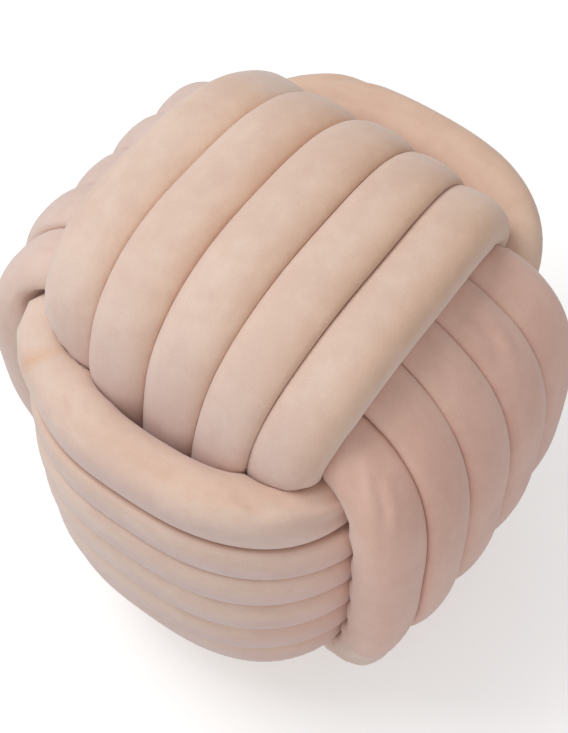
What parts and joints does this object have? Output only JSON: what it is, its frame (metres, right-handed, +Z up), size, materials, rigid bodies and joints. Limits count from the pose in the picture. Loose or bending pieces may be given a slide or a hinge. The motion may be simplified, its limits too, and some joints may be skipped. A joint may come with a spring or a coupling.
{
  "type": "braided pouf",
  "caption": "Ball-shaped pouf knotted from one long stuffed velvet tube, its strands crossing in three directions.",
  "frame": {"origin": "middle of the pouf's outline, on the floor", "axes": "+Z up, through the face whose strands run along Y; +X through the face whose strands run along Z; -Y through the face whose strands run along X"},
  "size_m": [0.4046, 0.4094, 0.442],
  "materials": {
    "velvet": "short-napped velvet"
  },
  "bodies": {
    "root": {"knotted_tube": "velvet"}
  },
  "joints": []
}
